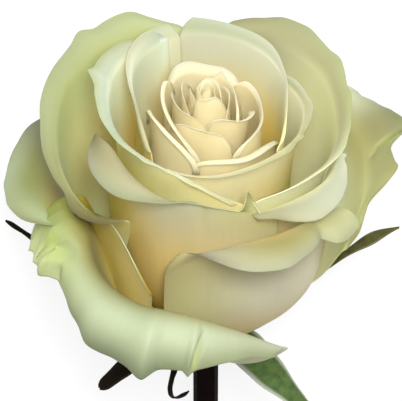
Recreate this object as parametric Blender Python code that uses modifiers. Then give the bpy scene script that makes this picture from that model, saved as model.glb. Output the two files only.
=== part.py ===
"""A cut rose lying on its side: thirty-two petals round a receptacle, five sepals and a short stem.

The petals are shaped in the flower's own frame: +Z runs along the flower's axis from the receptacle
to the heart of the bloom, and the azimuth is measured from +X, so that -90 degrees is the side that
faces up when the rose lies down. The whole flower is then laid on the floor, z = 0.
"""
import math
from functools import partial

import bmesh
import bpy
from mathutils import Matrix, Vector

MM = 0.001

# receptacle and stem
DOME_RADIUS = 8.5 * MM
DOME_HEIGHT = 9.0 * MM
HIP_HEIGHT = 15.0 * MM
STEM_RADIUS = 3.7 * MM
STEM_LENGTH = 132.0 * MM
STEM_BOW = 3.0 * MM
STEM_STEPS = 14
CUT_ANGLE = math.radians(35)
SEAT_GAP = 0.3 * MM

# how far the flower's axis rises from the floor, which leaves it resting on its back petals and its cut end
LYING_TILT = math.radians(12.85)

# petals and sepals
OUTER_THICKNESS = 0.55 * MM
INNER_THICKNESS = 0.40 * MM
SEPAL_THICKNESS = 0.9 * MM
LIP_START = 0.7        # share of a petal's length at which its rolled rim begins
ROLL_EASE = 0.75       # below 1, a rim turns sharply at the lip and straightens after it
ROLL_STEPS = 24
INNER_COUNT = 17
GOLDEN_ANGLE = 137.5

# colours, linear
CREAM = (0.84, 0.80, 0.58, 1)
PALE_GREEN = (0.66, 0.70, 0.42, 1)
SEPAL_GREEN = (0.07, 0.10, 0.03, 1)
STEM_BROWN = (0.03, 0.012, 0.008, 1)

# Each petal, outermost first. "az" is its middle and "half" its half width, in degrees. Triples run
# from the petal's low-azimuth side over its middle to its high-azimuth side: lip radius "r" and lip
# height "z" in mm, "lean" of the wall at the lip and further "roll" of the rim in degrees from
# upright, and rim length "lip" in mm. "q" is the place of its foot on the dome, 0 top to 1 edge.
PETALS = {
    "outer_petal_1": dict(az=-117, half=61, q=1.00, r=(42, 42, 41.5), z=(38, 42, 17), lean=(20, 9, 10),
                          roll=(105, 170, 115), lip=(11, 14, 3), bump=(0.1, 0.45, 11)),
    "outer_petal_2": dict(az=62, half=32, q=1.05, r=(44, 46.5, 43.5), z=(36, 41, 37), lean=(20, 20, 20),
                          roll=(60, 60, 60), lip=(4, 8, 4)),
    "outer_petal_3": dict(az=118, half=32, q=1.02, r=(39.5, 47.8, 43), z=(34, 41, 36), lean=(20, 20, 20),
                          roll=(60, 60, 60), lip=(3, 8, 4)),
    "outer_petal_4": dict(az=8, half=48, q=1.00, r=(43, 42, 41), z=(38, 54, 46), lean=(30, 35, 35),
                          roll=(70, 70, 60), lip=(3.5, 15, 10)),
    "outer_petal_5": dict(az=172, half=34, q=0.98, r=(38, 42.5, 39.5), z=(38, 44, 42), lean=(35, 40, 35),
                          roll=(55, 60, 60), lip=(8, 15, 5)),
    "outer_petal_6": dict(az=-63, half=46, q=0.92, r=(37, 40.5, 37), z=(34, 62.5, 50), lean=(5, 12, 10),
                          roll=(20, 130, 110), lip=(1.5, 13, 5)),
    "outer_petal_7": dict(az=208, half=40, q=0.84, r=(34, 34, 33.5), z=(50, 57, 32), lean=(13, 15, 5),
                          roll=(30, 50, 60), lip=(2, 5, 3)),
    "outer_petal_8": dict(az=150, half=56, q=0.91, r=(40, 43, 38.7), z=(62, 70, 52), lean=(16, 16, 14),
                          roll=(50, 55, 50), lip=(6, 8, 4)),
    "outer_petal_9": dict(az=12, half=76, q=0.83, r=(30, 37.5, 43), z=(60, 67, 62), lean=(15, 18, 20),
                          roll=(50, 55, 50), lip=(3, 6, 7)),
    "middle_petal_1": dict(az=-31, half=39, q=0.87, r=(34.5, 36.5, 36), z=(60, 61, 54), lean=(12, 17, 16),
                           roll=(70, 62, 50), lip=(4, 12, 5)),
    "middle_petal_2": dict(az=-116, half=54, q=0.80, r=(29, 31, 31), z=(70, 74, 63), lean=(10, 4, 5),
                           roll=(155, 90, 50), lip=(5, 6, 2), bump=(-0.55, 0.35, 6)),
    "middle_petal_3": dict(az=196, half=86, q=0.73, r=(33, 27, 24), z=(74, 75, 66), lean=(10, 10, 2),
                           roll=(60, 60, 30), lip=(5, 5, 2.5)),
    "middle_petal_4": dict(az=-32, half=80, q=0.67, r=(22.5, 26, 27), z=(70, 77, 69), lean=(5, 10, 10),
                           roll=(45, 65, 50), lip=(3, 4.5, 3)),
    "middle_petal_5": dict(az=37, half=63, q=0.60, r=(21, 25, 34), z=(66, 77, 73), lean=(2, 6, 12),
                           roll=(30, 45, 55), lip=(2, 2.5, 5)),
    "middle_petal_6": dict(az=160, half=57, q=0.55, r=(32, 21.5, 20), z=(77, 79, 64), lean=(5, 5, 5),
                           roll=(40, 40, 40), lip=(3, 3, 2)),
}


# Each sepal, as a curve through the flower's axis with four control points (r, z) in mm, the azimuth of its
# foot, how far its tip swings round from there, its width in mm, and how far its edges turn down.
SEPALS = {
    "sepal_left": dict(az=165, swing=0, r=(9.2, 24, 40, 59), z=(-2.2, -2, 10, 20), width=5, cup=-0.6),
    "sepal_right": dict(az=15, swing=0, r=(9.2, 24, 40, 56.5), z=(-2.2, -2, 8, 18), width=5, cup=-0.6),
    "sepal_front_right": dict(az=-41, swing=0, r=(9.2, 20, 32, 46), z=(-2.2, 0, -3, -18), width=8.5, cup=-0.8),
    "sepal_front_left": dict(az=-140, swing=0, r=(9.2, 18, 26, 34), z=(-2.2, -1, -1, -6), width=8, cup=-0.8),
    "sepal_back": dict(az=90, swing=0, r=(9.2, 20, 30, 38), z=(-2.2, -2, 2, 12), width=8, cup=-0.8),
}


def inner_petals():
    """The tight heart of the bloom: each petal stands a golden angle from the one outside it."""
    made = {}
    for i in range(INNER_COUNT):
        t = i / (INNER_COUNT - 1)
        radius = 1.6 + 15.6 * t
        made[f"inner_petal_{INNER_COUNT - i:02d}"] = dict(
            az=200 + GOLDEN_ANGLE * (i - INNER_COUNT + 1), half=88 - 26 * t, q=0.05 + 0.45 * t,
            r=(radius + 0.45, radius, radius - 0.45), z=(82 - 3.5 * t,) * 3,
            lean=(-8 + 10 * t,) * 3, roll=(25, 25 + 15 * t, 25), lip=(1.5, 2.2 + t, 1.5), trim=0.22)
    return made


def through(u, triple):
    """The smooth curve through three values at u = -1, 0 and 1."""
    low, mid, high = triple
    return mid + (high - low) / 2 * u + ((low + high) / 2 - mid) * u * u


def petal_point(p, u, v):
    """A point of a petal's middle surface in mm: u runs -1 to 1 across it, v 0 to 1 from foot to rim."""
    arch = math.sqrt(max(0.0, 1 - abs(u) ** 3))
    side = p["z"][0] if u < 0 else p["z"][2]
    lip_z = side + (p["z"][1] - side) * arch
    lip_r = through(u, p["r"])
    lean = math.radians(through(u, p["lean"]))
    roll = math.radians(through(u, p["roll"]))
    lip = max(1.0, through(u, p["lip"]))
    if "bump" in p:
        middle, width, more = p["bump"]
        lip += more * math.exp(-((u - middle) / width) ** 2)
    foot_r = 1.2 + (DOME_RADIUS / MM - 1.2) * min(1.0, p["q"])
    foot_z = DOME_HEIGHT / MM * math.sqrt(max(0.0, 1 - p["q"] ** 2)) + SEAT_GAP / MM
    reach = math.hypot(lip_r - foot_r, lip_z - foot_z)
    low_pull = 8 + 25 * p["q"]
    spread = math.radians(45 - 33 * p["q"])
    t = min(1.0, v / LIP_START) * (1 - p.get("trim", 0) * (1 - arch))
    pull = 0.45 * reach * math.cos(lean) ** 2
    r_points = (foot_r, foot_r + low_pull * math.cos(spread), lip_r - pull * math.sin(lean), lip_r)
    z_points = (foot_z, foot_z + low_pull * math.sin(spread), lip_z - pull * math.cos(lean), lip_z)
    weights = ((1 - t) ** 3, 3 * t * (1 - t) ** 2, 3 * t * t * (1 - t), t ** 3)
    r = sum(w * x for w, x in zip(weights, r_points))
    z = sum(w * x for w, x in zip(weights, z_points))
    past_lip = max(0.0, (v - LIP_START) / (1 - LIP_START))
    for step in range(ROLL_STEPS):
        angle = lean + roll * (past_lip * (step + 0.5) / ROLL_STEPS) ** ROLL_EASE
        r += lip * past_lip / ROLL_STEPS * math.sin(angle)
        z += lip * past_lip / ROLL_STEPS * math.cos(angle)
    width = 0.3 + 0.7 * math.sin(min(1.0, t / 0.62) * math.pi / 2) ** 1.3
    shoulder = 1 - 0.10 * max(0.0, (v - 0.55) / 0.45) ** 2
    azimuth = math.radians(p["az"] + p["half"] * width * shoulder * u)
    return r * math.cos(azimuth), r * math.sin(azimuth), z


def sepal_point(p, u, v):
    """A point of a sepal's middle surface in mm: u runs -1 to 1 across it, v 0 to 1 from foot to tip."""
    weights = ((1 - v) ** 3, 3 * v * (1 - v) ** 2, 3 * v * v * (1 - v), v ** 3)
    r = sum(w * x for w, x in zip(weights, p["r"]))
    z = sum(w * x for w, x in zip(weights, p["z"]))
    azimuth = math.radians(p["az"] + p["swing"] * v * v)
    half_width = p["width"] / 2 * (0.55 + 0.45 * math.sin(math.pi * min(1.0, v / 0.8)) ** 0.8) * (1 - v ** 3) + 0.5
    across = u * half_width
    return (r * math.cos(azimuth) - across * math.sin(azimuth),
            r * math.sin(azimuth) + across * math.cos(azimuth), z + p["cup"] * u * u)


def make_sheet(name, point, across, along, thickness, material, flower):
    """A thin closed sheet on the surface point(u, v)."""
    mesh = bpy.data.meshes.new(name)
    bm = bmesh.new()
    bmesh.ops.create_grid(bm, x_segments=across, y_segments=along, size=1)
    for vert in bm.verts:
        vert.co = Vector(point(vert.co.x, (vert.co.y + 1) / 2)) * MM
    bm.to_mesh(mesh)
    bm.free()
    sheet = bpy.data.objects.new(name, mesh)
    solidify = sheet.modifiers.new("Thickness", "SOLIDIFY")
    solidify.thickness = thickness
    solidify.offset = 0
    finish(sheet, material, flower)


def make_receptacle(material, flower):
    """The hip and the dome that the petals stand on, as one turned piece."""
    profile = [(0, DOME_HEIGHT)]
    for step in range(1, 8):
        angle = step / 7 * math.pi / 2
        profile.append((DOME_RADIUS * math.sin(angle), DOME_HEIGHT * math.cos(angle)))
    for radius, depth in ((8.6, 1.2), (7.6, 3.5), (7.2, 6.0), (7.0, 9.0), (6.0, 12.0), (4.3, 14.4)):
        profile.append((radius * MM, -depth * MM))
    profile.append((STEM_RADIUS, -HIP_HEIGHT))
    profile.append((0, -HIP_HEIGHT))
    mesh = bpy.data.meshes.new("receptacle")
    bm = bmesh.new()
    verts = [bm.verts.new((x, 0, z)) for x, z in profile]
    for first, second in zip(verts, verts[1:]):
        bm.edges.new((first, second))
    bm.to_mesh(mesh)
    bm.free()
    receptacle = bpy.data.objects.new("receptacle", mesh)
    screw = receptacle.modifiers.new("Turn", "SCREW")
    screw.steps = screw.render_steps = 20
    screw.use_merge_vertices = True
    screw.merge_threshold = 1e-5
    finish(receptacle, material, flower)


def make_stem(material, flower):
    """A bowed rod whose lower end is cut at a slant."""
    data = bpy.data.curves.new("stem", "CURVE")
    data.dimensions = "3D"
    data.bevel_depth = STEM_RADIUS
    data.bevel_resolution = 2
    data.use_fill_caps = True
    spline = data.splines.new("POLY")
    spline.points.add(STEM_STEPS - 1)
    for step, point in enumerate(spline.points):
        t = step / (STEM_STEPS - 1)
        point.co = (0, STEM_BOW * t * t, -HIP_HEIGHT - SEAT_GAP - STEM_LENGTH * t, 1)
    rod = bpy.data.objects.new("stem_curve", data)
    bpy.data.collections["rose"].objects.link(rod)
    bpy.context.view_layer.update()
    mesh = bpy.data.meshes.new_from_object(rod.evaluated_get(bpy.context.evaluated_depsgraph_get()))
    bpy.data.objects.remove(rod)
    bm = bmesh.new()
    bm.from_mesh(mesh)
    bmesh.ops.remove_doubles(bm, verts=bm.verts, dist=1e-5)
    end = -HIP_HEIGHT - SEAT_GAP - STEM_LENGTH
    for vert in bm.verts:
        if vert.co.z < end + 2 * MM:
            vert.co.z = end + (vert.co.y - STEM_BOW) * math.tan(CUT_ANGLE)
        elif vert.co.z > -HIP_HEIGHT - 1 * MM:
            vert.co.z = -HIP_HEIGHT - SEAT_GAP
    bm.to_mesh(mesh)
    bm.free()
    mesh.name = "stem"
    finish(bpy.data.objects.new("stem", mesh), material, flower)


def finish(obj, material, flower):
    obj.data.materials.append(material)
    obj.data.shade_smooth()
    obj.parent = flower
    bpy.data.collections["rose"].objects.link(obj)


def lay_down(flower):
    """Turns the flower onto its side and puts the middle of its lowest face at the world's origin."""
    turned = Matrix.Rotation(math.pi, 4, "Z") @ Matrix.Rotation(-(math.pi / 2 - LYING_TILT), 4, "X")
    flower.matrix_world = turned
    bpy.context.view_layer.update()
    graph = bpy.context.evaluated_depsgraph_get()
    corners = []
    for obj in flower.children:
        evaluated = obj.evaluated_get(graph)
        mesh = evaluated.to_mesh()
        corners += [turned @ vert.co for vert in mesh.vertices]
        evaluated.to_mesh_clear()
    low = Vector([min(c[axis] for c in corners) for axis in range(3)])
    high = Vector([max(c[axis] for c in corners) for axis in range(3)])
    flower.location = (-(low.x + high.x) / 2, -(low.y + high.y) / 2, -low.z)


def make_material(name, colour, roughness):
    material = bpy.data.materials.new(name)
    material.use_nodes = True
    shader = material.node_tree.nodes["Principled BSDF"]
    shader.inputs["Base Color"].default_value = colour
    shader.inputs["Roughness"].default_value = roughness
    shader.inputs["Metallic"].default_value = 0
    return material


def main():
    for obj in list(bpy.data.objects):
        bpy.data.objects.remove(obj)
    collection = bpy.data.collections.new("rose")
    bpy.context.scene.collection.children.link(collection)
    flower = bpy.data.objects.new("flower_axis", None)
    collection.objects.link(flower)
    petal_cream = make_material("petal_cream", CREAM, 0.55)
    petal_green = make_material("petal_pale_green", PALE_GREEN, 0.55)
    sepal_green = make_material("sepal_green", SEPAL_GREEN, 0.6)
    stem_brown = make_material("stem_brown", STEM_BROWN, 0.5)
    for name, p in PETALS.items():
        material = petal_green if name.startswith("outer") else petal_cream
        make_sheet(name, partial(petal_point, p), 12, 10, OUTER_THICKNESS, material, flower)
    for name, p in inner_petals().items():
        make_sheet(name, partial(petal_point, p), 8, 7, INNER_THICKNESS, petal_cream, flower)
    for name, p in SEPALS.items():
        make_sheet(name, partial(sepal_point, p), 4, 12, SEPAL_THICKNESS, sepal_green, flower)
    make_receptacle(sepal_green, flower)
    make_stem(stem_brown, flower)
    lay_down(flower)


main()
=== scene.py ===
import math
import bpy
import numpy as np
from mathutils import Matrix, Vector


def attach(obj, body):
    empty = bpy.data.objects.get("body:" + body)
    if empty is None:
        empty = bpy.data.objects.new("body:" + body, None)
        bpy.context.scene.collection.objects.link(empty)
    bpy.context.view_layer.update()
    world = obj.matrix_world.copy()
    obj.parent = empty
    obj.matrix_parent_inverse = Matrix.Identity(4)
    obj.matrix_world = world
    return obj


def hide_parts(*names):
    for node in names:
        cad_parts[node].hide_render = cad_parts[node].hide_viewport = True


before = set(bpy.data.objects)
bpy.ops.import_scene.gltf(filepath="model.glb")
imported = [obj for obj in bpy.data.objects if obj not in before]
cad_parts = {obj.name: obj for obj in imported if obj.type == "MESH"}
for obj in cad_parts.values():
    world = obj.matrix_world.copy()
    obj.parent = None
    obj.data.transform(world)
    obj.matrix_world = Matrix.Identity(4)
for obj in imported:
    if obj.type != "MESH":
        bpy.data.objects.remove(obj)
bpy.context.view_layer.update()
mm = 0.001

# The rose's own frame: z runs along the flower from the receptacle to the heart, azimuth 0 is +x and
# azimuth -90 is the side that faces up as it lies. lying turns that frame onto the floor: tilt is the
# slope of the flower's axis in degrees, and foot is where the frame's origin comes to lie, in metres.
lying = {"tilt": 12.85, "foot": (-0.000995, -0.030507, 0.038713)}
laid = (Matrix.Translation(lying["foot"]) @ Matrix.Rotation(math.pi, 4, "Z")
        @ Matrix.Rotation(-math.radians(90 - lying["tilt"]), 4, "X"))
laidTurn = np.array(laid.to_3x3())
laidMove = np.array(laid.to_translation())


def toFloor(points):
    # millimetres in the rose's frame to metres on the floor
    return points * mm @ laidTurn.T + laidMove


def along(u, values):
    # smooth curve through values spaced evenly over u = -1..1: a parabola for three, Catmull-Rom for more
    values = np.asarray(values, float)
    if len(values) == 3:
        low, mid, high = values
        return mid + (high - low) / 2 * u + ((low + high) / 2 - mid) * u * u
    padded = np.concatenate([[2 * values[0] - values[1]], values, [2 * values[-1] - values[-2]]])
    place = (np.clip(u, -1, 1) + 1) / 2 * (len(values) - 1)
    knot = np.minimum(place.astype(int), len(values) - 2)
    t = place - knot
    a, b, c, d = (padded[knot + k] for k in range(4))
    second, third = 2 * a - 5 * b + 4 * c - d, 3 * b - a - 3 * c + d
    return 0.5 * (2 * b + (c - a) * t + second * t ** 2 + third * t ** 3)


def ramp(x, low, high):
    # 0 below low and 1 above high, with a smooth S between them
    t = np.clip((x - low) / (high - low), 0, 1)
    return t * t * (3 - 2 * t)


def bell(x, middle, width):
    # a bell curve, 1 at its middle
    return np.exp(-((x - middle) / width) ** 2)


def bezier(t, p0, p1, p2, p3):
    # cubic curve from p0 to p3 that p1 and p2 pull on
    return (1 - t) ** 3 * p0 + 3 * t * (1 - t) ** 2 * p1 + 3 * t * t * (1 - t) * p2 + t ** 3 * p3


def normalsOf(points):
    # unit vectors square to the surface, from the cross product of its two directions
    across, up = np.gradient(points, axis=0), np.gradient(points, axis=1)
    n = np.cross(across, up)
    return n / np.maximum(np.linalg.norm(n, axis=-1, keepdims=True), 1e-9)


# How every petal grows from the dome of the receptacle. A pair is the value at the heart and what the
# outermost ring adds to it; lengths in millimetres, angles in degrees. lipAt is v at the lip, and a
# rowSpacing below 1 sets the rows closer together towards the rim.
growth = {
    "footRadius": (1.2, 7.3), "domeHeight": 9, "footLift": 0.3,
    "fullness": (8, 25), "footSlope": (45, -33), "lipPull": 0.45,
    "lipAt": 0.66, "rowSpacing": 0.9,
    "leastRim": 0.8, "curlSteps": 24, "curlEase": 0.75,
    "clawWidth": 0.3, "clawLength": 0.62, "clawEase": 1.3,
    "shoulderAt": 0.55, "shoulderLoss": 0.1,
    "tipSharpness": 1.6, "swell": 0.45, "swellFrom": 0.15, "swellFull": 0.7, "foldEnds": 0.04,
}


def petalSurface(petal, columns, rows):
    # u runs -1..1 across the petal and v 0..1 from its foot to its rim. In the plane through the axis a
    # cubic curve climbs from the foot on the dome to the lip; from there the rim goes on as a curl whose
    # direction turns by roll degrees, summed over short steps. u spreads this profile over azimuths,
    # narrow at the claw and a little narrower again at the rim.
    u = np.linspace(-1, 1, columns)[:, None]
    v = (np.linspace(0, 1, rows) ** growth["rowSpacing"])[None, :]
    arch = np.sqrt(np.clip(1 - np.abs(u) ** 3, 0, 1))
    if len(petal["lipHeight"]) == 3:
        left, top, right = petal["lipHeight"]
        side = np.where(u < 0, left, right)
        lipZ = side + (top - side) * arch
    else:
        lipZ = along(u, petal["lipHeight"])
    lipR = along(u, petal["lipRadius"])
    lean = np.radians(along(u, petal["lean"]))
    roll = np.radians(along(u, petal["roll"]))
    rim = np.maximum(along(u, petal["rim"]), growth["leastRim"])
    for middle, width, more, turn in petal.get("bumps", ()):
        rim = rim + more * bell(u, middle, width)
        roll = roll + np.radians(turn) * bell(u, middle, width)
    for middle, width, more in petal.get("tips", ()):
        rim = rim + more * np.clip(1 - np.abs(u - middle) / width, 0, 1) ** growth["tipSharpness"]

    ring = petal["ring"]
    footR = growth["footRadius"][0] + growth["footRadius"][1] * min(1, ring)
    footZ = growth["domeHeight"] * math.sqrt(max(0, 1 - ring * ring)) + growth["footLift"]
    reach = np.hypot(lipR - footR, lipZ - footZ)
    lowPull = (growth["fullness"][0] + growth["fullness"][1] * ring) * petal.get("belly", 1)
    slope = math.radians(growth["footSlope"][0] + growth["footSlope"][1] * ring)
    highPull = growth["lipPull"] * reach * np.cos(lean) ** 2
    lipAt = growth["lipAt"]
    t = np.clip(v / lipAt, 0, 1) * (1 - petal.get("trim", 0) * (1 - arch))
    r = bezier(t, footR, footR + lowPull * math.cos(slope), lipR - highPull * np.sin(lean), lipR)
    z = bezier(t, footZ, footZ + lowPull * math.sin(slope), lipZ - highPull * np.cos(lean), lipZ)

    past = np.clip((v - lipAt) / (1 - lipAt), 0, 1)
    steps = (np.arange(growth["curlSteps"]) + 0.5) / growth["curlSteps"]
    angle = lean[..., None] + roll[..., None] * (past[..., None] * steps) ** growth["curlEase"]
    r = r + rim * past * np.sin(angle).mean(-1)
    z = z + rim * past * np.cos(angle).mean(-1)

    length = petal.get("clawLength", growth["clawLength"])
    opened = np.sin(np.clip(t / length, 0, 1) * math.pi / 2) / math.sin(min(1, 1 / length) * math.pi / 2)
    claw = growth["clawWidth"] + (1 - growth["clawWidth"]) * opened ** growth["clawEase"]
    aboveShoulder = np.clip((v - growth["shoulderAt"]) / (1 - growth["shoulderAt"]), 0, 1)
    shoulder = 1 - growth["shoulderLoss"] * aboveShoulder ** 2
    spread = petal["halfAngle"] * claw * shoulder * u
    azimuth = np.radians(petal["azimuth"] + spread + petal.get("skew", 0) * v * v)
    points = np.stack([r * np.cos(azimuth), r * np.sin(azimuth), z + 0 * azimuth], -1)
    return points + normalsOf(points) * relief(petal, u, v)[..., None], u, v


def relief(petal, u, v):
    # how far the petal stands off its plain form: long slow swells, products of sines out of step with
    # each other that fade towards the foot, and folds, each a ridge or a groove with a bell for its section
    seed = petal["seed"]
    swell = sum(np.sin(k * u * 1.7 + seed * (k + 2.3)) * np.sin((k + 1) * v * 1.6 + seed * 1.7 * k) / k
                for k in (1, 2, 3, 4))
    grown = ramp(v, growth["swellFrom"], growth["swellFull"])
    height = petal.get("swell", growth["swell"]) * swell * grown
    blunt = growth["foldEnds"]
    for u0, v0, u1, v1, width, depth in petal.get("folds", ()):
        du, dv = u1 - u0, v1 - v0
        s = np.clip(((u - u0) * du + (v - v0) * dv) / (du * du + dv * dv), 0, 1)
        gap = np.hypot(u - u0 - s * du, v - v0 - s * dv)
        fade = np.sin(math.pi * np.clip(s, blunt, 1 - blunt)) ** 0.5
        height = height + depth * np.exp(-(gap / width) ** 2) * fade
    return height


def petalTints(petal, u, v):
    # colours of the two sides, each in three steps: a card of tones blended smoothly over the side, its
    # rows from claw to rim and a row one tone or several from u = -1 to 1, with painted light and shade in
    # its tones; marks, which are soft ovals: green streaks and a cream rim of the petal's own colour, and
    # painted shade; and a wash, which multiplies the whole side, shifting its hue and lightening or
    # darkening it as painted light and shade
    tints = {}
    for side, firstRow in cardStart.items():
        rows = [row if isinstance(row, tuple) else (row,) for row in petal[side]]
        count = max(map(len, rows))
        card = np.array([[tones[row[round(k * (len(row) - 1) / max(count - 1, 1))]] for k in range(count)]
                         for row in rows])
        colour = 0
        place = np.clip((v - firstRow) / (1 - firstRow), 0, 1) * (len(rows) - 1) + 0 * u
        across = (u + 1) / 2 * (count - 1) + 0 * v
        for i in range(len(rows)):
            down = ramp(1 - np.abs(place - i), 0, 1)
            for k in range(count):
                colour = colour + (down * ramp(1 - np.abs(across - k), 0, 1))[..., None] * card[i, k]
        # the shade tones among these ovals are painted shade; the others are the petal's own streaks and
        # rim colour
        for u0, v0, halfWide, halfHigh, markAndShadeTone, strength in petal.get(side + "MarksAndShade", ()):
            oval = np.exp(-((u - u0) / halfWide) ** 2 - ((v - v0) / halfHigh) ** 2)
            weight = (strength * oval)[..., None]
            colour = colour * (1 - weight) + np.array(tones[markAndShadeTone]) * weight
        # the wash shifts the side's hue and lightens or darkens it as a whole: partly painted light and
        # shade
        wash = np.array(petal.get(side + "Wash", (1, 1, 1)))
        tints[side + "Tint"] = np.minimum(colour * wash, palest)
    return tints


def gridPiece(name, points, fields, thickness, materials, nodes):
    # a grid of points as one mesh with its UV map and its fields, given its thickness by Solidify
    columns, rows = points.shape[:2]
    mesh = bpy.data.meshes.new(name)
    index = np.arange(columns * rows).reshape(columns, rows)
    quads = np.stack([index[:-1, :-1], index[1:, :-1], index[1:, 1:], index[:-1, 1:]], -1).reshape(-1, 4)
    mesh.vertices.add(columns * rows)
    mesh.vertices.foreach_set("co", toFloor(points.reshape(-1, 3)).astype(np.float32).ravel())
    mesh.loops.add(quads.size)
    mesh.loops.foreach_set("vertex_index", quads.ravel().astype(np.int32))
    mesh.polygons.add(len(quads))
    mesh.polygons.foreach_set("loop_start", (np.arange(len(quads)) * 4).astype(np.int32))
    mesh.update(calc_edges=True)
    uv = np.stack(np.meshgrid(np.linspace(0, 1, columns), np.linspace(0, 1, rows), indexing="ij"), -1)
    uv = uv.reshape(-1, 2)[quads.ravel()]
    mesh.uv_layers.new(name="UVMap").data.foreach_set("uv", uv.astype(np.float32).ravel())
    for key, values in fields.items():
        if values.ndim == 3:
            layer = mesh.attributes.new(key, "FLOAT_COLOR", "POINT")
            rgba = np.concatenate([values, np.ones((columns, rows, 1))], -1)
            layer.data.foreach_set("color", rgba.astype(np.float32).ravel())
        else:
            layer = mesh.attributes.new(key, "FLOAT", "POINT")
            spread = np.broadcast_to(values, (columns, rows))
            layer.data.foreach_set("value", spread.astype(np.float32).ravel())
    mesh.shade_smooth()
    piece = bpy.data.objects.new(name, mesh)
    bpy.context.scene.collection.objects.link(piece)
    for material in materials:
        mesh.materials.append(material)
    solid = piece.modifiers.new("thickness", "SOLIDIFY")
    solid.thickness = thickness * mm
    solid.offset = 0
    solid.use_rim = True
    if len(materials) > 1:               # the second material is the far side's and the rim's
        solid.material_offset = 1
        solid.material_offset_rim = 1
    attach(piece, "root")
    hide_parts(*nodes)


def newMaterial(name):
    material = bpy.data.materials.new(name)
    material.use_nodes = True
    nodes, links = material.node_tree.nodes, material.node_tree.links
    return material, nodes, links, nodes["Principled BSDF"]


def mixColour(nodes, links, factor, first, second, mode="MIX"):
    mix = nodes.new("ShaderNodeMix")
    mix.data_type, mix.blend_type = "RGBA", mode
    for socket, value in ((mix.inputs[0], factor), (mix.inputs[6], first), (mix.inputs[7], second)):
        if isinstance(value, bpy.types.NodeSocket):
            links.new(value, socket)
        elif isinstance(value, (int, float)):
            socket.default_value = value
        else:
            socket.default_value = (*value, 1)
    return mix.outputs[2]


def clampedMath(nodes, links, operation, first, second):
    node = nodes.new("ShaderNodeMath")
    node.operation = operation
    node.use_clamp = True
    for socket, value in zip(node.inputs, (first, second)):
        if isinstance(value, bpy.types.NodeSocket):
            links.new(value, socket)
        else:
            socket.default_value = value
    return node.outputs[0]


def field(nodes, name, output="Fac"):
    node = nodes.new("ShaderNodeAttribute")
    node.attribute_name = name
    return node.outputs[output]


def noise(nodes, links, coordinate, scale, detail, stretch=None):
    if stretch:
        mapping = nodes.new("ShaderNodeMapping")
        mapping.inputs["Scale"].default_value = stretch
        links.new(coordinate, mapping.inputs["Vector"])
        coordinate = mapping.outputs["Vector"]
    node = nodes.new("ShaderNodeTexNoise")
    node.inputs["Scale"].default_value = scale
    node.inputs["Detail"].default_value = detail
    links.new(coordinate, node.inputs["Vector"])
    return node.outputs["Fac"]


def skinBump(nodes, links, shader, height, skin):
    bump = nodes.new("ShaderNodeBump")
    bump.inputs["Strength"].default_value = skin["bump"]
    bump.inputs["Distance"].default_value = skin["bumpDepth"]
    links.new(height, bump.inputs["Height"])
    links.new(bump.outputs[0], shader.inputs["Normal"])


petalSkin = {
    "cloudScale": 70, "cloudDepth": 0.3, "cloudTone": (0.90, 0.93, 0.82),
    "veinStretch": (110, 3.2, 1), "veinTone": (0.72, 0.70, 0.50),
    "veinDepth": {"face": 0.3, "back": 0.35},
    "roughness": (0.45, 0.62), "specular": 0.25,
    "grainScale": 1600, "grain": 0.25, "bump": 0.25, "bumpDepth": 0.0003,
    "through": 0.42, "throughTone": (1.0, 0.98, 0.86), "throughTint": 0.7,
}


def petalMaterial(name, side):
    # the side's tint, clouded softly, with veins that run from claw to rim and a finely grained skin
    skin = petalSkin
    material, nodes, links, shader = newMaterial(name)
    place = nodes.new("ShaderNodeTexCoord")
    cloud = noise(nodes, links, place.outputs["Object"], skin["cloudScale"], 3)
    veins = noise(nodes, links, place.outputs["UV"], 1, 4, skin["veinStretch"])
    tint = field(nodes, side + "Tint", "Color")
    clouded = clampedMath(nodes, links, "MULTIPLY", cloud, skin["cloudDepth"])
    colour = mixColour(nodes, links, clouded, tint, skin["cloudTone"], "MULTIPLY")
    veined = clampedMath(nodes, links, "MULTIPLY", veins, skin["veinDepth"][side])
    colour = mixColour(nodes, links, veined, colour, skin["veinTone"], "MULTIPLY")
    links.new(colour, shader.inputs["Base Color"])
    rough = nodes.new("ShaderNodeMapRange")
    rough.inputs["To Min"].default_value, rough.inputs["To Max"].default_value = skin["roughness"]
    links.new(cloud, rough.inputs["Value"])
    links.new(rough.outputs[0], shader.inputs["Roughness"])
    fine = noise(nodes, links, place.outputs["Object"], skin["grainScale"], 2)
    grain = clampedMath(nodes, links, "MULTIPLY", fine, skin["grain"])
    skinBump(nodes, links, shader, clampedMath(nodes, links, "ADD", grain, veins), skin)
    shader.inputs["Specular IOR Level"].default_value = skin["specular"]
    # light that comes through the petal is warmer than what it reflects
    through = nodes.new("ShaderNodeBsdfTranslucent")
    warm = mixColour(nodes, links, skin["throughTint"], colour, skin["throughTone"])
    links.new(warm, through.inputs["Color"])
    blend = nodes.new("ShaderNodeMixShader")
    blend.inputs[0].default_value = skin["through"]
    links.new(shader.outputs[0], blend.inputs[1])
    links.new(through.outputs[0], blend.inputs[2])
    links.new(blend.outputs[0], nodes["Material Output"].inputs["Surface"])
    return material


petalFace = petalMaterial("petalFace", "face")
petalBack = petalMaterial("petalBack", "back")
print("petal materials made")
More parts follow.
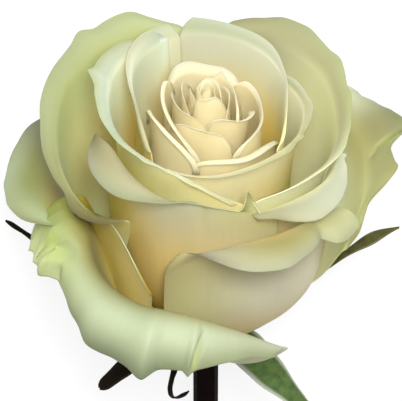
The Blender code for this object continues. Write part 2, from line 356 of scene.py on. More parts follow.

# Linear colours that the petals' cards, marks and painted shade name. Each family runs from its palest
# tone, 1, to its darkest. They were matched to the colours of the lit rose, so they are the petals' own
# colours with painted light and shade in them: dark tones paint the shade in clefts and under lips, and
# pale tones set deep in the flower paint light there. No tint goes past palest. A side's card begins at
# the v of cardStart, and its first row goes on from there down to the foot.
palest = 0.96
cardStart = {"face": 0.3, "back": 0.15}
tones = {
    # the near-black tones are painted shade in the deepest clefts and under the lips, not a colour of the
    # petals
    "leaf1": (0.94, 0.95, 0.84), "leaf2": (0.81, 0.83, 0.71), "leaf3": (0.79, 0.80, 0.47),
    "leaf4": (0.63, 0.64, 0.37), "leaf5": (0.56, 0.59, 0.33), "leaf6": (0.51, 0.52, 0.44),
    "leaf7": (0.51, 0.52, 0.35), "leaf8": (0.40, 0.46, 0.21), "leaf9": (0.39, 0.44, 0.18),
    "leaf10": (0.34, 0.37, 0.21), "leaf11": (0.30, 0.33, 0.15), "leaf12": (0.29, 0.32, 0.07),
    "leaf13": (0.28, 0.31, 0.19), "leaf14": (0.18, 0.19, 0.03), "shadowGreyGreen": (0.11, 0.13, 0.08),
    "shadowOlive": (0.12, 0.13, 0.05),
    "mint1": (0.90, 0.96, 0.61), "mint2": (0.81, 0.95, 0.84), "mint3": (0.81, 0.91, 0.78),
    "mint4": (0.74, 0.87, 0.79), "mint5": (0.71, 0.82, 0.71), "mint6": (0.59, 0.67, 0.46),
    "mint7": (0.57, 0.59, 0.52), "mint8": (0.43, 0.51, 0.44), "mint9": (0.44, 0.47, 0.39),
    "mint10": (0.40, 0.47, 0.30), "mint11": (0.36, 0.42, 0.35), "mint12": (0.30, 0.34, 0.23),
    "mint13": (0.15, 0.19, 0.14),
    "lime1": (0.74, 0.73, 0.38), "lime2": (0.68, 0.68, 0.34),
    "cream1": (0.96, 0.92, 0.74), "cream2": (0.96, 0.93, 0.63), "cream3": (0.96, 0.86, 0.64),
    "cream4": (0.71, 0.71, 0.59), "cream5": (0.68, 0.65, 0.43), "cream6": (0.58, 0.56, 0.35),
    "cream7": (0.48, 0.47, 0.31), "cream8": (0.42, 0.41, 0.26), "cream9": (0.34, 0.32, 0.20),
    "shadowGrey": (0.08, 0.06, 0.06),
    "straw1": (0.96, 0.91, 0.56), "straw2": (0.96, 0.85, 0.44), "straw3": (0.96, 0.79, 0.36),
    "straw4": (0.74, 0.64, 0.32), "straw5": (0.47, 0.42, 0.22), "straw6": (0.25, 0.24, 0.11),
    "straw7": (0.19, 0.18, 0.09), "shadowBrown": (0.08, 0.06, 0.03), "shadowBlackBrown": (0.06, 0.05, 0.03),
    "honey1": (0.96, 0.79, 0.23), "honey2": (0.85, 0.70, 0.31), "honey3": (0.35, 0.31, 0.10),
    "honey4": (0.19, 0.16, 0.06),
    "amber1": (0.90, 0.69, 0.28), "amber2": (0.96, 0.67, 0.22), "amber3": (0.95, 0.67, 0.14),
    "amber4": (0.96, 0.67, 0.08), "amber5": (0.96, 0.67, 0.03), "amber6": (0.68, 0.47, 0.03),
    "amber7": (0.47, 0.34, 0.03), "amber8": (0.24, 0.18, 0.03), "shadowAmber": (0.10, 0.07, 0.03),
    "rimCream": (0.86, 0.82, 0.52), "heartWall": (0.90, 0.80, 0.53), "heartSide": (0.86, 0.80, 0.58),
    "heartDeep": (0.95, 0.72, 0.34), "heartRim": (0.68, 0.67, 0.56), "streakGreen": (0.52, 0.58, 0.16),
    "shadeGrey": (0.52, 0.54, 0.42), "shadeOlive": (0.32, 0.30, 0.15), "shadeUmber": (0.14, 0.09, 0.02),
}

# The petals, outermost first, in millimetres and degrees. A list runs over u = -1..1, evenly spaced.
#   azimuth, halfAngle, skew: where the petal stands, how far it reaches each way, how its rim is turned
#   ring: where its foot stands on the dome, 0 at the top and 1 at the edge
#   belly: how full it is near its foot; clawLength: how far up the claw goes on widening, 1 at the lip
#   lipRadius, lipHeight, lean: the lip's place, and the petal's slope outwards from upright there
#   roll, rim: how far the rim turns over past the lip, and its length
#   bumps: (u, width, more rim, more roll); tips: (u, half width, length) of a point on the rim
#   folds: from (u, v) to (u, v), width, depth; marks and painted shade: (u, v, half width, half
#   height, tone, strength)
#   washes: what the red, green and blue of a side are multiplied by, which shifts its hue and also
#   lightens or darkens it as painted light and shade
#   face, back: the cards of the inner and the outer side, rows from claw to rim, with painted shade
#   and painted light in their tones
petals = {
    "outer_petal_1": dict(
        azimuth=-117, halfAngle=61, ring=1.0, clawLength=1.6, belly=0.45,
        lipRadius=(34.5, 35.5, 40, 41.5, 41.5, 41.5, 41), lipHeight=(46, 48, 43, 40, 39, 32.5, 20),
        lean=(57, 34, 18, 11, 5, 12, 26), roll=(120, 125, 170, 180, 178, 130, 85),
        rim=(18, 20, 20.5, 21, 21.5, 21, 17.5, 17.5, 19.5, 21, 24.5, 24.5, 24, 25.5, 28.5, 24, 22.5,
             21, 18, 15, 12.5, 9.5, 7.5, 5.5, 1.5),
        tips=((-0.92, 0.05, 1.5), (-0.8, 0.05, 1.5), (-0.68, 0.05, 1.5), (-0.58, 0.04, 1.5),
              (0.185, 0.06, 1.5), (0.405, 0.035, 4)),
        folds=((-0.73, 0.94, -0.45, 0.78, 0.045, 2.2), (-0.66, 0.9, -0.68, 1, 0.02, 1.2),
               (-0.58, 0.9, -0.59, 1, 0.02, -1.2), (-0.5, 0.9, -0.5, 1, 0.02, 1.2),
               (0.45, 0.82, 0.41, 1, 0.014, 2.2)),
        faceMarksAndShade=((0.43, 0.92, 0.012, 0.09, "streakGreen", 0.6),
                    (-0.6, 0.87, 0.12, 0.05, "streakGreen", 0.5),
                    (-0.45, 0.66, 0.3, 0.06, "shadeUmber", 0.6)),
        faceWash=(0.98, 1.07, 0.92),
        face=(("amber6", "amber7", "amber7"), ("amber6", "amber7", "amber7"),
              ("amber7", "amber8", "amber6"), ("leaf12", "mint9", "mint7"),
              ("leaf4", "mint13", "mint12")),
        back=("leaf4", ("leaf4", "leaf4", "mint6"), ("mint6", "mint6", "leaf2"),
              ("mint6", "straw1", "cream3"))),
    "outer_petal_2": dict(
        azimuth=62, halfAngle=32, ring=1.05, lipRadius=(44, 46.5, 43.5), lipHeight=(36, 41, 37),
        lean=(20, 20, 20), roll=(60, 60, 60),
        rim=(4, 8, 4),
        face=("leaf4", "leaf4", "leaf4", "mint8", "mint7"),
        back=("leaf4", "mint8", "mint8", "mint7")),
    "outer_petal_3": dict(
        azimuth=118, halfAngle=32, ring=1.02, lipRadius=(39.5, 47.8, 43), lipHeight=(34, 41, 36),
        lean=(20, 20, 20), roll=(60, 60, 60),
        rim=(3, 8, 4),
        face=("leaf4", "leaf4", "leaf4", "mint8", "mint7"),
        back=("leaf4", "mint8", "mint8", "mint7")),
    "outer_petal_4": dict(
        azimuth=16, halfAngle=41, ring=1.0, clawLength=1.5, belly=0.75,
        lipRadius=(42, 43.5, 44, 44, 44, 43, 42.5), lipHeight=(41, 48, 53, 55, 54, 51, 47.5),
        lean=(26, 26, 29, 33, 39, 41, 40), roll=(45, 35, 45, 55, 80, 90, 80),
        rim=(1.5, 3, 3, 3, 4, 10, 12.5, 11, 10, 10, 15.5, 15.5, 14.5, 13.5, 13, 12.5, 12.5, 13, 13.5,
             14, 15.5, 16, 16, 16, 15.5),
        folds=((-0.24, 0.78, -0.14, 1, 0.025, 1.8),),
        faceMarksAndShade=((-0.19, 0.88, 0.03, 0.1, "streakGreen", 0.5),),
        faceWash=(0.98, 1.03, 0.95),
        face=(("cream3", "cream3", "leaf1"), ("mint1", "leaf1", "leaf1"),
              ("leaf3", "honey3", "leaf1"), ("leaf11", "honey4", "leaf1"),
              ("honey3", "shadowOlive", "mint7")),
        back=("mint1", ("cream3", "mint1", "mint1"), ("straw2", "mint1", "mint1"), "mint1")),
    "outer_petal_5": dict(
        azimuth=172, halfAngle=34, ring=0.98, lipRadius=(40.5, 42, 42.5, 43, 42.5, 41, 39),
        lipHeight=(41, 43, 43, 43, 43.5, 45, 47), lean=(37, 39, 40, 41, 41, 39, 33),
        roll=(60, 60, 65, 65, 65, 65, 50),
        rim=(14.5, 15, 15.5, 16, 16, 16, 15.5, 15, 15, 14.5, 14.5, 13.5, 12.5, 11, 6.5),
        faceWash=(0.95, 1.02, 0.9),
        face=(("amber8", "leaf12", "leaf12"), ("amber8", "leaf12", "leaf12"),
              ("shadowOlive", "amber8", "amber3"), ("shadowBlackBrown", "leaf14", "mint6"),
              ("shadowBlackBrown", "mint12", "straw6")),
        back=("leaf4", "mint8", "mint8", "mint7")),
    "outer_petal_6": dict(
        azimuth=-63, halfAngle=46, ring=0.92, lipRadius=(34.5, 37.5, 39, 40, 39.5, 39, 37),
        lipHeight=(46.5, 59, 63.5, 64, 63, 58, 50), lean=(-4, 5, 11, 13, 14, 14, 13),
        roll=(-10, 65, 120, 140, 150, 145, 120),
        rim=(6.5, 8, 9.5, 11, 12, 12.5, 13, 13.5, 13.5, 13.5, 13, 11.5, 10.5, 9, 7, 11, 11.5, 11,
             10.5, 10.5, 10),
        faceWash=(0.99, 1.0, 1.01), backWash=(0.99, 0.99, 1.01),
        face=("amber2", ("leaf3", "straw3", "straw1"), ("leaf3", "amber2", "cream1"),
              ("mint7", "honey3", "leaf3"), ("shadowGrey", "leaf7", "leaf5")),
        back=(("straw2", "straw2", "leaf5"), ("lime1", "cream4", "cream1"),
              ("straw5", "shadowBlackBrown", "leaf4"), ("straw2", "leaf13", "cream6"))),
    "outer_petal_7": dict(
        azimuth=204, halfAngle=40, skew=6, ring=0.84, belly=1.15,
        lipRadius=(35.5, 35.5, 36.5, 36, 35.5, 36.5, 37), lipHeight=(36, 40, 47, 54.5, 58, 54, 40),
        lean=(12, 16, 17, 16, 10, 2, -6), roll=(40, 50, 55, 55, 50, 45, 45),
        rim=(1.5, 2, 3, 3, 2, 1.5, 1.5),
        backMarksAndShade=((0.8, 1, 0.45, 0.12, "rimCream", 0.9),),
        backWash=(1.03, 1.02, 1.01),
        face=(("leaf14", "amber7", "amber7"), ("leaf14", "amber7", "amber7"),
              ("shadowAmber", "leaf14", "amber7"), ("shadowAmber", "shadowAmber", "amber7"),
              ("shadowBrown", "shadowBrown", "mint1")),
        back=(("amber2", "amber2", "honey1"), ("amber3", "honey1", "honey1"),
              ("amber3", "amber7", "straw5"), ("honey3", "leaf12", "leaf5"))),
    "outer_petal_8": dict(
        azimuth=162.5, halfAngle=68.5, ring=0.91, clawLength=1.4,
        lipRadius=(42.5, 43, 43, 42.3, 40.4, 36.5, 33),
        lipHeight=(66.5, 69.8, 70.4, 68.4, 61.5, 56.5, 60), lean=(15, 15, 16, 16, 16, 20, 26),
        roll=(45, 46, 52, 58, 60, 72, 85),
        rim=(4, 5, 6.5, 8.5, 8.5, 8, 7.5, 9, 7.5, 7, 7, 7, 7, 7, 6.5, 6.5, 6.5, 6, 5.5, 4.5, 6, 7,
             7.5, 7.5, 7),
        faceWash=(0.94, 1.01, 0.92),
        face=(("amber4", "mint1", "mint2"), ("amber6", "leaf3", "mint2"), ("leaf9", "leaf8", "mint4"),
              ("mint10", "leaf10", "honey4"), ("leaf10", "leaf13", "shadowBlackBrown")),
        back=(("amber3", "amber3", "mint7"), ("straw2", "amber3", "leaf3"),
              ("honey1", "cream5", "honey1"), ("leaf6", "cream5", "honey1"))),
    "outer_petal_9": dict(
        azimuth=12, halfAngle=76, ring=0.83, lipRadius=(28.5, 32, 35, 37, 40, 41.5, 43),
        lipHeight=(67.5, 69, 68, 68, 68.5, 68.5, 64.5), lean=(14, 15, 17, 18, 18, 19, 19),
        roll=(40, 50, 55, 50, 50, 50, 45),
        rim=(3, 3.5, 4, 4, 4.5, 5, 5, 5.5, 5.5, 5, 5.5, 5.5, 6, 6.5, 6, 7, 8, 7.5, 8, 9, 9, 9, 8, 7.5,
             6.5),
        faceMarksAndShade=((0.08, 0.78, 0.2, 0.1, "shadeOlive", 0.4),),
        faceWash=(1.03, 1.07, 1.0), backWash=(1.24, 1.24, 1.25),
        face=(("mint2", "cream1", "amber4"), ("mint2", "leaf1", "amber5"),
              ("mint2", "leaf4", "shadowAmber"), ("leaf1", "straw6", "straw6"),
              ("leaf1", "leaf11", "straw7")),
        back=(("honey1", "straw1", "cream3"), ("amber4", "cream3", "cream3"),
              ("cream3", "mint2", "mint2"), ("amber4", "leaf1", "leaf1"))),
    "middle_petal_1": dict(
        azimuth=-31, halfAngle=37, ring=0.87, lipRadius=(31.5, 33.5, 35.5, 36.5, 36.5, 36, 36),
        lipHeight=(66.5, 68, 69, 68.5, 67, 64, 58), lean=(30, 30, 30, 28, 26, 24, 20),
        roll=(90, 100, 105, 105, 100, 85, 60),
        rim=(2, 4, 8.5, 11, 10.5, 9.5, 8, 6.5, 5, 4, 3, 3, 4),
        faceWash=(1.01, 0.99, 0.95),
        face=(("amber4", "honey1", "straw3"), ("amber4", "amber1", "leaf1"),
              ("straw1", "cream2", "leaf1"), ("cream9", "mint9", "leaf1"),
              ("cream8", "leaf6", "leaf1")),
        back=(("amber2", "cream2", "cream3"), ("amber3", "cream2", "leaf1"), "mint4", "mint4")),
    "middle_petal_2": dict(
        azimuth=-111, halfAngle=59, ring=0.8, lipRadius=(30, 29.5, 30.5, 31.5, 31.5, 31.5, 32),
        lipHeight=(75, 78, 75, 73, 72, 69, 62.5), lean=(12, 10, 6, 3, 2, 4, 5),
        roll=(165, 155, 130, 85, 40, 45, 55),
        rim=(2, 11, 11.5, 7.5, 3.5, 2, 1.5),
        bumps=((0.8, 0.08, 0, -75),), tips=((0.8, 0.13, 7),),
        folds=((0.2, 0.95, 0.36, 0.55, 0.05, -0.8),),
        faceWash=(1.01, 0.99, 0.97), backWash=(1.04, 1.04, 1.02),
        face=(("amber7", "amber6", "amber6"), ("amber7", "amber6", "amber6"),
              ("cream8", "cream7", "cream7"), ("shadowGreyGreen", "cream7", "leaf3"),
              ("mint8", "leaf13", "leaf3")),
        back=(("amber3", "amber4", "honey1"), ("honey1", "amber1", "cream3"),
              ("amber5", "leaf6", "lime2"), ("amber5", "leaf9", "straw6"))),
    "middle_petal_3": dict(
        azimuth=201, halfAngle=91, ring=0.73, lipRadius=(30, 29, 27.5, 26, 26, 27.8, 29),
        lipHeight=(79, 79.5, 79, 78.5, 79.5, 78.5, 69), lean=(4, 9, 12, 14, 15, 10, 1),
        roll=(30, 50, 60, 65, 70, 60, 40),
        rim=(3.5, 3, 4.5, 5.5, 6, 6.5, 6.5, 5, 4.5, 4, 4, 4, 3.5, 3.5, 3.5, 3, 2.5, 3, 1, 1, 1, 3, 3,
             2.5, 1.5),
        tips=((-0.45, 0.07, 3),), faceWash=(1.0, 1.01, 1.12), backWash=(1.2, 1.13, 1.08),
        face=(("amber2", "cream2", "mint1"), ("amber5", "mint2", "mint2"),
              ("mint3", "mint2", "leaf1"), ("mint8", "mint8", "cream6"),
              ("leaf13", "mint10", "leaf4")),
        back=(("amber5", "amber5", "amber3"), ("amber5", "amber5", "mint2"),
              ("amber5", "straw2", "honey2"), ("amber3", "straw3", "leaf3"))),
    "middle_petal_4": dict(
        azimuth=-35, halfAngle=84, ring=0.67, lipRadius=(23.5, 24.5, 25, 25.5, 26, 27, 28),
        lipHeight=(75, 76.5, 78, 78, 76.5, 73.5, 71), lean=(7, 11, 16, 15, 14, 11, 8),
        roll=(45, 60, 70, 70, 65, 55, 45),
        rim=(3.5, 3.5, 4, 4, 4, 4, 4, 4, 4, 4, 4.5, 5.5, 4.5, 3.5, 3, 3.5, 3.5, 3.5, 4, 4, 3.5, 3.5,
             3.5, 3.5, 3),
        tips=((0.12, 0.08, 2),), faceWash=(1.04, 1.03, 1.1), backWash=(1.17, 1.16, 1.2),
        face=(("mint2", "mint3", "mint2"), ("mint2", "mint3", "mint2"), ("cream1", "mint3", "leaf2"),
              ("straw1", "cream6", "mint12"), ("leaf7", "leaf10", "mint8")),
        back=(("honey1", "amber3", "amber5"), ("mint4", "amber2", "amber5"),
              ("straw4", "cream5", "amber5"), ("amber1", "amber4", "amber5"))),
    "middle_petal_5": dict(
        azimuth=34, halfAngle=68, ring=0.6, lipRadius=(23, 21.5, 22, 25, 28.5, 33, 37),
        lipHeight=(75.5, 77.5, 78, 77.5, 77, 75, 72.5), lean=(1, 2, 4, 6, 9, 11, 13),
        roll=(25, 30, 35, 45, 50, 55, 65),
        rim=(2, 1.5, 1.5, 2, 4, 4, 5),
        faceWash=(1.04, 1.05, 1.02),
        face=("amber3", ("straw2", "amber3", "amber2"), ("cream2", "cream4", "leaf6"),
              ("straw1", "mint9", "mint12"), ("leaf3", "leaf6", "mint11")),
        back=("cream3", "leaf1", ("straw2", "leaf1", "leaf1"), ("cream3", "cream1", "cream1"))),
    "middle_petal_6": dict(
        azimuth=160, halfAngle=57, ring=0.55, lipRadius=(31, 28.5, 25, 21.5, 19, 18.5, 18.5),
        lipHeight=(77, 78, 79.5, 80, 79.5, 78, 72), lean=(1, 3, 4, 5, 6, 6, 7),
        roll=(30, 35, 40, 40, 40, 40, 40),
        rim=(5.5, 6, 5, 3.5, 2.5, 2, 1.5),
        faceMarksAndShade=((-0.97, 0.7, 0.13, 0.25, "shadeGrey", 0.55),),
        faceWash=(1.06, 1.09, 1.12),
        face=(("straw3", "mint3", "mint3"), ("straw3", "mint2", "mint2"),
              ("mint3", "mint5", "cream2"), ("mint8", "mint3", "cream7"),
              ("mint11", "leaf6", "straw7")),
        back=("amber5", ("amber5", "amber5", "cream3"), ("amber5", "amber7", "amber5"), "amber5")),
}
heart = {
    "inner_petal_01": dict(
        azimuth=213, halfAngle=52, ring=0.5, lipRadius=(16, 15, 15, 16, 17.5),
        lipHeight=(78, 80, 81, 80.5, 79.5), lean=(2, 1, 2, 3, 5), roll=(110, 115, 115, 120, 110),
        rim=(1.2, 1.5, 1.5, 1.5, 1.2)),
    "inner_petal_02": dict(
        azimuth=197, halfAngle=68, ring=0.46, lipRadius=(13, 11.5, 11.5, 12.5, 14.5),
        lipHeight=(85, 84.5, 83, 80.5, 78.5), lean=(-2, 0, 3, 5, 8), roll=(65, 80, 85, 75, 60),
        rim=(1.6, 1.5, 1.5, 1.5, 1.2)),
    "inner_petal_03": dict(
        azimuth=-56, halfAngle=52, ring=0.43, lipRadius=(16.5, 17, 17.5, 18, 20),
        lipHeight=(77.5, 75.5, 74, 73.5, 73.5), lean=(8, 7, 7, 6, 5),
        roll=(100, 120, 125, 115, 80),
        rim=(1.5, 2, 2.5, 2.5, 1.5)),
    "inner_petal_04": dict(
        azimuth=-2, halfAngle=62, ring=0.4, lipRadius=(16, 16, 14.5, 14, 13.5),
        lipHeight=(80.5, 78.5, 78, 79.5, 82.5), lean=(7, 1, -3, -3, 0), roll=(60, 50, 35, 35, 40),
        rim=(2, 2.5, 2.5, 2, 2)),
    "inner_petal_05": dict(
        azimuth=88, halfAngle=46, ring=0.37, lipRadius=(14, 14, 14, 14.5, 15),
        lipHeight=(76.5, 77.5, 78, 79.5, 81.5), lean=(1, 2, 2, 1, 1), roll=(65, 80, 80, 80, 60),
        rim=(3, 3.5, 3.5, 4, 3.5),
        faceWash=(0.86, 0.86, 0.88)),
    "inner_petal_06": dict(
        azimuth=-105, halfAngle=52, ring=0.34, lipRadius=(11.5, 11.5, 11.5, 12.5, 13),
        lipHeight=(79.5, 81, 81, 81, 80.5), lean=(2, 2, 2, 1, 1), roll=(30, 30, 30, 30, 30),
        rim=(1.5, 1.5, 1.5, 1.5, 1.5)),
    "inner_petal_07": dict(
        azimuth=209, halfAngle=66, ring=0.3, lipRadius=(9.5, 9, 8.5, 8.3, 7.5),
        lipHeight=(82, 83, 82.5, 83, 84), lean=(-3, -2, 0, 3, 4), roll=(25, 25, 35, 40, 30),
        rim=(2, 2, 2, 1.5, 1.5)),
    "inner_petal_08": dict(
        azimuth=-38, halfAngle=54, ring=0.27, lipRadius=(7.5, 9.5, 11.5, 12, 11.5),
        lipHeight=(84.5, 83, 80.5, 79, 78.5), lean=(4, 5, 7, 6, 9), roll=(60, 65, 70, 65, 50),
        rim=(1.5, 2.5, 2.5, 2.5, 2)),
    "inner_petal_09": dict(
        azimuth=38, halfAngle=74, ring=0.23, lipRadius=(9.5, 8, 8, 8.5, 8.5),
        lipHeight=(81.5, 82, 82.5, 82.5, 79.5), lean=(-3, -4, -5, -5, -7),
        roll=(25, 20, 20, 25, 25),
        rim=(1.5, 1.5, 1.5, 1.5, 1.5),
        tips=((0.34, 0.3, 2),)),
    "inner_petal_10": dict(
        azimuth=168, halfAngle=62, ring=0.2, lipRadius=(9, 7.5, 6.5, 6, 5.5),
        lipHeight=(82, 83.5, 84, 83.5, 83), lean=(-4, -4, -3, -2, -2), roll=(25, 20, 20, 20, 20),
        rim=(1.5, 1.5, 1.5, 1.5, 1.5)),
    "inner_petal_11": dict(
        azimuth=-85, halfAngle=66, ring=0.17, lipRadius=(4, 4.4, 4.5, 4.5, 5.5),
        lipHeight=(85, 85.5, 85.5, 85.5, 85), lean=(-4, -5, -6, -6, -6), roll=(20, 20, 25, 25, 25),
        rim=(1.5, 1.5, 1.5, 1.5, 1.5)),
    "inner_petal_12": dict(
        azimuth=15, halfAngle=62, ring=0.15, lipRadius=(6.4, 6.2, 6), lipHeight=(81, 82.5, 83),
        lean=(-3, -3, -3), roll=(20, 20, 20),
        rim=(1.2, 1.4, 1.2)),
    "inner_petal_13": dict(
        azimuth=195, halfAngle=62, ring=0.13, lipRadius=(4.4, 4.2, 4), lipHeight=(84, 85, 85),
        lean=(-4, -4, -4), roll=(20, 20, 20),
        rim=(1.2, 1.4, 1.2)),
    "inner_petal_14": dict(
        azimuth=70, halfAngle=80, ring=0.11, lipRadius=(3.8, 3.6, 3.2),
        lipHeight=(84.5, 85.5, 85.5), lean=(-5, -5, -5), roll=(20, 20, 20),
        rim=(1.2, 1.4, 1.2)),
    "inner_petal_15": dict(
        azimuth=205, halfAngle=70, ring=0.09, lipRadius=(2.8, 2.6, 2.4), lipHeight=(85, 86, 86),
        lean=(-5, -5, -5), roll=(20, 20, 20),
        rim=(1, 1.2, 1)),
    "inner_petal_16": dict(
        azimuth=85, halfAngle=105, ring=0.07, lipRadius=(2, 1.8, 1.6),
        lipHeight=(85.5, 86.5, 86.5), lean=(-5, -5, -5), roll=(15, 15, 15),
        rim=(1, 1.2, 1)),
    "inner_petal_17": dict(
        azimuth=-70, halfAngle=100, ring=0.05, lipRadius=(1.3, 1.2, 1.1),
        lipHeight=(86, 86.5, 86.5), lean=(-6, -6, -6), roll=(15, 15, 15),
        rim=(1, 1, 1)),
}
# what the petals of the heart share: flatter, cut back at the corners, and warm deep between them;
# their tones run from heartRim up to heartDeep, as pale as a tint may go: the golden and cream of the
# heart with painted light in the depths, where the petals shade each other
heartSkin = {
    "swell": 0.2, "trim": 0.1,
    "face": ("heartDeep", "heartWall", "heartSide", "heartRim"),
    "back": ("heartDeep", "heartWall", "heartSide"),
}
petalSheet = {"grid": (170, 100), "thickness": 0.3}
heartSheet = {"grid": (60, 50), "thickness": 0.2}
for number, (name, petal) in enumerate({**petals, **heart}.items()):
    petal["seed"] = number * 1.37        # so that no two petals swell alike
    if name in heart:
        petal.update(heartSkin)


def makePetals():
    everyPetal = {**petals, **heart}
    for name, petal in everyPetal.items():
        sheet = heartSheet if name in heart else petalSheet
        points, u, v = petalSurface(petal, *sheet["grid"])
        gridPiece(name + "_fine", points, petalTints(petal, u, v), sheet["thickness"],
                  [petalBack, petalFace], [name])
    print("petals made:", len(everyPetal))


makePetals()

# The sepals. outward and upward are the four points of the curve that a sepal follows; width is listed
# from foot to tip; cup is how far its edges stand above its middle. A tone of dark is the sepal green
# darkened nearly to black, painted shade for the sepals that lie in shade. The lobe belongs to the node
# of the sepal beside it.
sepals = {
    "sepal_left": dict(
        azimuth=165, outward=(9.2, 30, 50, 60), upward=(-2.2, -6, 15, 19.8), width=(6, 5, 3, 2, 1),
        cup=-0.4, tone="dark"),
    "sepal_right": dict(
        azimuth=15, outward=(9.2, 28, 44, 58), upward=(-2.2, -4, 17, 17.5),
        width=(6, 6, 3.5, 2.2, 4, 1), cup=-0.4, tone="dusk"),
    "sepal_front_right": dict(
        azimuth=-41, outward=(9.2, 16, 28, 47), upward=(-2.2, -6, -12, -19),
        width=(8, 12, 11, 6, 0.6), cup=-1.2, tone="leaf"),
    "sepal_front_left": dict(
        azimuth=-146, outward=(9.2, 18, 26, 37), upward=(-2.2, -5, -7, -12),
        width=(6, 5, 5, 6, 3.5), cup=-0.8, tone="dark"),
    "sepal_back": dict(
        azimuth=90, outward=(9.2, 20, 30, 38), upward=(-2.2, -2, 2, 12), width=(7, 9, 7, 4, 0.6),
        cup=-0.8, tone="leaf"),
    "sepal_lobe": dict(
        azimuth=-112, outward=(9.2, 26, 38, 13.5), upward=(-2.2, 2, -8, -23),
        width=(3, 1.8, 1.4, 1.4, 1), cup=-0.2, tone="dark", node="sepal_front_left"),
}
sepalSheet = {
    "grid": (24, 90), "thickness": 0.5, "leastWidth": 0.3, "tipLength": 0.07, "tipWidth": 0.02,
    "cupEase": 1.4, "wave": 0.25, "waveCount": 23, "edgeFrom": 0.72, "edgePaleness": 0.8,
}


def sepalSurface(sepal, columns, rows):
    # a blade along a cubic curve in the plane through the axis, as wide as its width list says on the
    # way from foot to tip, rounded at its tip, folded a little along its middle and waved along its edges
    sheet = sepalSheet
    u = np.linspace(-1, 1, columns)[:, None]
    v = np.linspace(0, 1, rows)[None, :]
    r = bezier(v, *sepal["outward"])
    z = bezier(v, *sepal["upward"])
    nearTip = np.clip((v - 1 + sheet["tipLength"]) / sheet["tipLength"], 0, 1)
    width = np.maximum(along(v * 2 - 1, sepal["width"]), sheet["leastWidth"])
    side = u * width / 2 * np.sqrt(np.clip(1 - nearTip ** 2, sheet["tipWidth"], 1))
    azimuth = math.radians(sepal["azimuth"])
    x = r * math.cos(azimuth) - side * math.sin(azimuth)
    y = r * math.sin(azimuth) + side * math.cos(azimuth)
    wave = sheet["wave"] * np.sin(sheet["waveCount"] * v + 2 * u) * u * u
    height = z + sepal["cup"] * np.abs(u) ** sheet["cupEase"] + wave
    return np.stack([x, y, height], -1), u, v


# light and dark are the two colours of the skin's patches, and edge is the pale rim of a sepal; the
# third tone below is the sepal green darkened nearly to black: painted shade
greenSkin = {"patchScale": 420, "roughness": 0.75, "specular": 0.04, "grainScale": 1500,
             "bump": 0.4, "bumpDepth": 0.0003}
greenTones = {
    "leaf": dict(name="sepalLeaf", light=(0.12, 0.19, 0.06), dark=(0.012, 0.028, 0.008),
                 edge=(0.42, 0.44, 0.37)),
    "dusk": dict(name="sepalDusk", light=(0.12, 0.12, 0.04), dark=(0.02, 0.02, 0.008),
                 edge=(0.16, 0.16, 0.08)),
    "dark": dict(name="sepalShaded", light=(0.014, 0.010, 0.005), dark=(0.004, 0.003, 0.002),
                 edge=(0.03, 0.024, 0.014)),
    "stem": dict(name="stemSkin", light=(0.006, 0.0015, 0.001), dark=(0.001, 0.0004, 0.0003),
                 edge=(0.02, 0.01, 0.005)),
}


def greenMaterial(name, light, dark, edge):
    # patches of two greens, a pale edge, and a dull grained skin
    material, nodes, links, shader = newMaterial(name)
    place = nodes.new("ShaderNodeTexCoord")
    patches = noise(nodes, links, place.outputs["Object"], greenSkin["patchScale"], 6)
    colour = mixColour(nodes, links, patches, dark, light)
    colour = mixColour(nodes, links, field(nodes, "rim"), colour, edge)
    links.new(colour, shader.inputs["Base Color"])
    shader.inputs["Roughness"].default_value = greenSkin["roughness"]
    shader.inputs["Specular IOR Level"].default_value = greenSkin["specular"]
    grain = noise(nodes, links, place.outputs["Object"], greenSkin["grainScale"], 3)
    skinBump(nodes, links, shader, grain, greenSkin)
    return material


def makeGreens():
    greens = {tone: greenMaterial(**colours) for tone, colours in greenTones.items()}
    for name, sepal in sepals.items():
        points, u, v = sepalSurface(sepal, *sepalSheet["grid"])
        edge = ramp(np.abs(u), sepalSheet["edgeFrom"], 1)
        fields = {"rim": edge * sepalSheet["edgePaleness"] + 0 * v}
        gridPiece(name + "_fine", points, fields, sepalSheet["thickness"], [greens[sepal["tone"]]],
                  [sepal.get("node", name)])
    for node, tone in (("receptacle", "leaf"), ("stem", "stem")):
        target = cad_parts[node]
        target.data.materials.clear()
        target.data.materials.append(greens[tone])
    print("sepals made:", len(sepals))


makeGreens()

# The floor is white paper, which the camera sees almost as a light of its own, and still with the
# rose's shadow on it.
paper = {"halfSize": 4, "drop": 0.0002, "colour": 0.9, "roughness": 0.9, "glow": 1.05, "glowShare": 0.75}


def makeFloor():
    size, low = paper["halfSize"], -paper["drop"]
    mesh = bpy.data.meshes.new("floor")
    mesh.from_pydata([(-size, -size, low), (size, -size, low), (size, size, low), (-size, size, low)],
                     [], [(0, 1, 2, 3)])
    floor = bpy.data.objects.new("floor", mesh)
    bpy.context.scene.collection.objects.link(floor)
    material, nodes, links, shader = newMaterial("floorPaper")
    shader.inputs["Base Color"].default_value = (*[paper["colour"]] * 3, 1)
    shader.inputs["Roughness"].default_value = paper["roughness"]
    shader.inputs["Specular IOR Level"].default_value = 0
    glow = nodes.new("ShaderNodeEmission")
    glow.inputs["Strength"].default_value = paper["glow"]
    path = nodes.new("ShaderNodeLightPath")
    share = nodes.new("ShaderNodeMath")
    share.operation = "MULTIPLY"
    share.inputs[1].default_value = paper["glowShare"]
    mix = nodes.new("ShaderNodeMixShader")
    links.new(path.outputs["Is Camera Ray"], share.inputs[0])
    links.new(share.outputs[0], mix.inputs[0])
    links.new(shader.outputs[0], mix.inputs[1])
    links.new(glow.outputs[0], mix.inputs[2])
    links.new(mix.outputs[0], nodes["Material Output"].inputs["Surface"])
    mesh.materials.append(material)


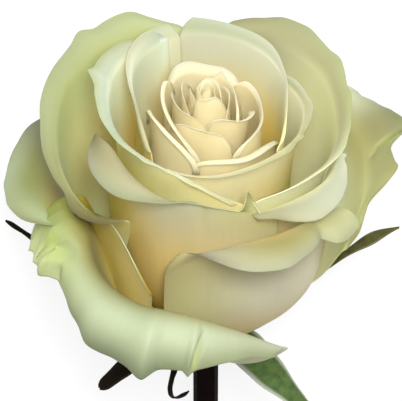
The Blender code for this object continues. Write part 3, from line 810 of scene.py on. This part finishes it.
# The camera looks at target, in the rose's own millimetres, from elevation degrees above the flower's
# side; distance and frameWidth, the width that it takes in there, are in metres. A lamp's place is
# measured from the target to the camera's right, up and back, in metres.
view = {"elevation": 45, "target": (-1.4, -6.6, 50), "distance": 0.9, "frameWidth": 0.11176, "film": 36}
lamps = (
    {"name": "key", "power": 2.8, "size": 0.7, "place": (-0.2, 0.7, 0.65)},
    {"name": "front", "power": 12.2, "size": 0.25, "place": (0.06, 0.1, 0.97)},
)
lowestLamp = 0.3
studio = {"light": 0.55, "seen": 1}      # strength of the white world on the rose, and to the camera


def makeCamera(target, right, up, back):
    camera = bpy.data.objects.new("camera", bpy.data.cameras.new("camera"))
    bpy.context.scene.collection.objects.link(camera)
    camera.matrix_world = (Matrix.Translation(target + back * view["distance"])
                           @ Matrix((right, up, back)).transposed().to_4x4())
    camera.data.lens = view["film"] * view["distance"] / view["frameWidth"]
    camera.data.clip_end = 20
    bpy.context.scene.camera = camera


def makeLamps(target, right, up, back):
    for given in lamps:
        lamp = bpy.data.lights.new(given["name"], "AREA")
        lamp.energy, lamp.size = given["power"], given["size"]
        holder = bpy.data.objects.new(given["name"], lamp)
        bpy.context.scene.collection.objects.link(holder)
        toRight, toUp, toBack = given["place"]
        spot = target + (toRight * right + toUp * up + toBack * back)
        spot.z = max(spot.z, lowestLamp)
        aim = (target - spot).to_track_quat("-Z", "Y").to_matrix().to_4x4()
        holder.matrix_world = Matrix.Translation(spot) @ aim


def makeStudio():
    world = bpy.data.worlds.new("studio")
    bpy.context.scene.world = world
    world.use_nodes = True
    nodes, links = world.node_tree.nodes, world.node_tree.links
    nodes["Background"].inputs["Color"].default_value = (1, 1, 1, 1)
    path = nodes.new("ShaderNodeLightPath")
    strength = nodes.new("ShaderNodeMath")
    strength.operation = "MULTIPLY_ADD"
    strength.inputs[1].default_value = studio["seen"] - studio["light"]
    strength.inputs[2].default_value = studio["light"]
    links.new(path.outputs["Is Camera Ray"], strength.inputs[0])
    links.new(strength.outputs[0], nodes["Background"].inputs["Strength"])


turn = laid.to_3x3()
elevation = math.radians(view["elevation"])
target = laid @ (Vector(view["target"]) * mm)
right = turn @ Vector((1, 0, 0))
up = turn @ Vector((0, math.sin(elevation), math.cos(elevation)))
back = turn @ Vector((0, -math.cos(elevation), math.sin(elevation)))
makeFloor()
makeCamera(target, right, up, back)
makeLamps(target, right, up, back)
makeStudio()
bpy.context.scene.view_settings.view_transform = "Standard"
print("floor, lamps and camera placed")
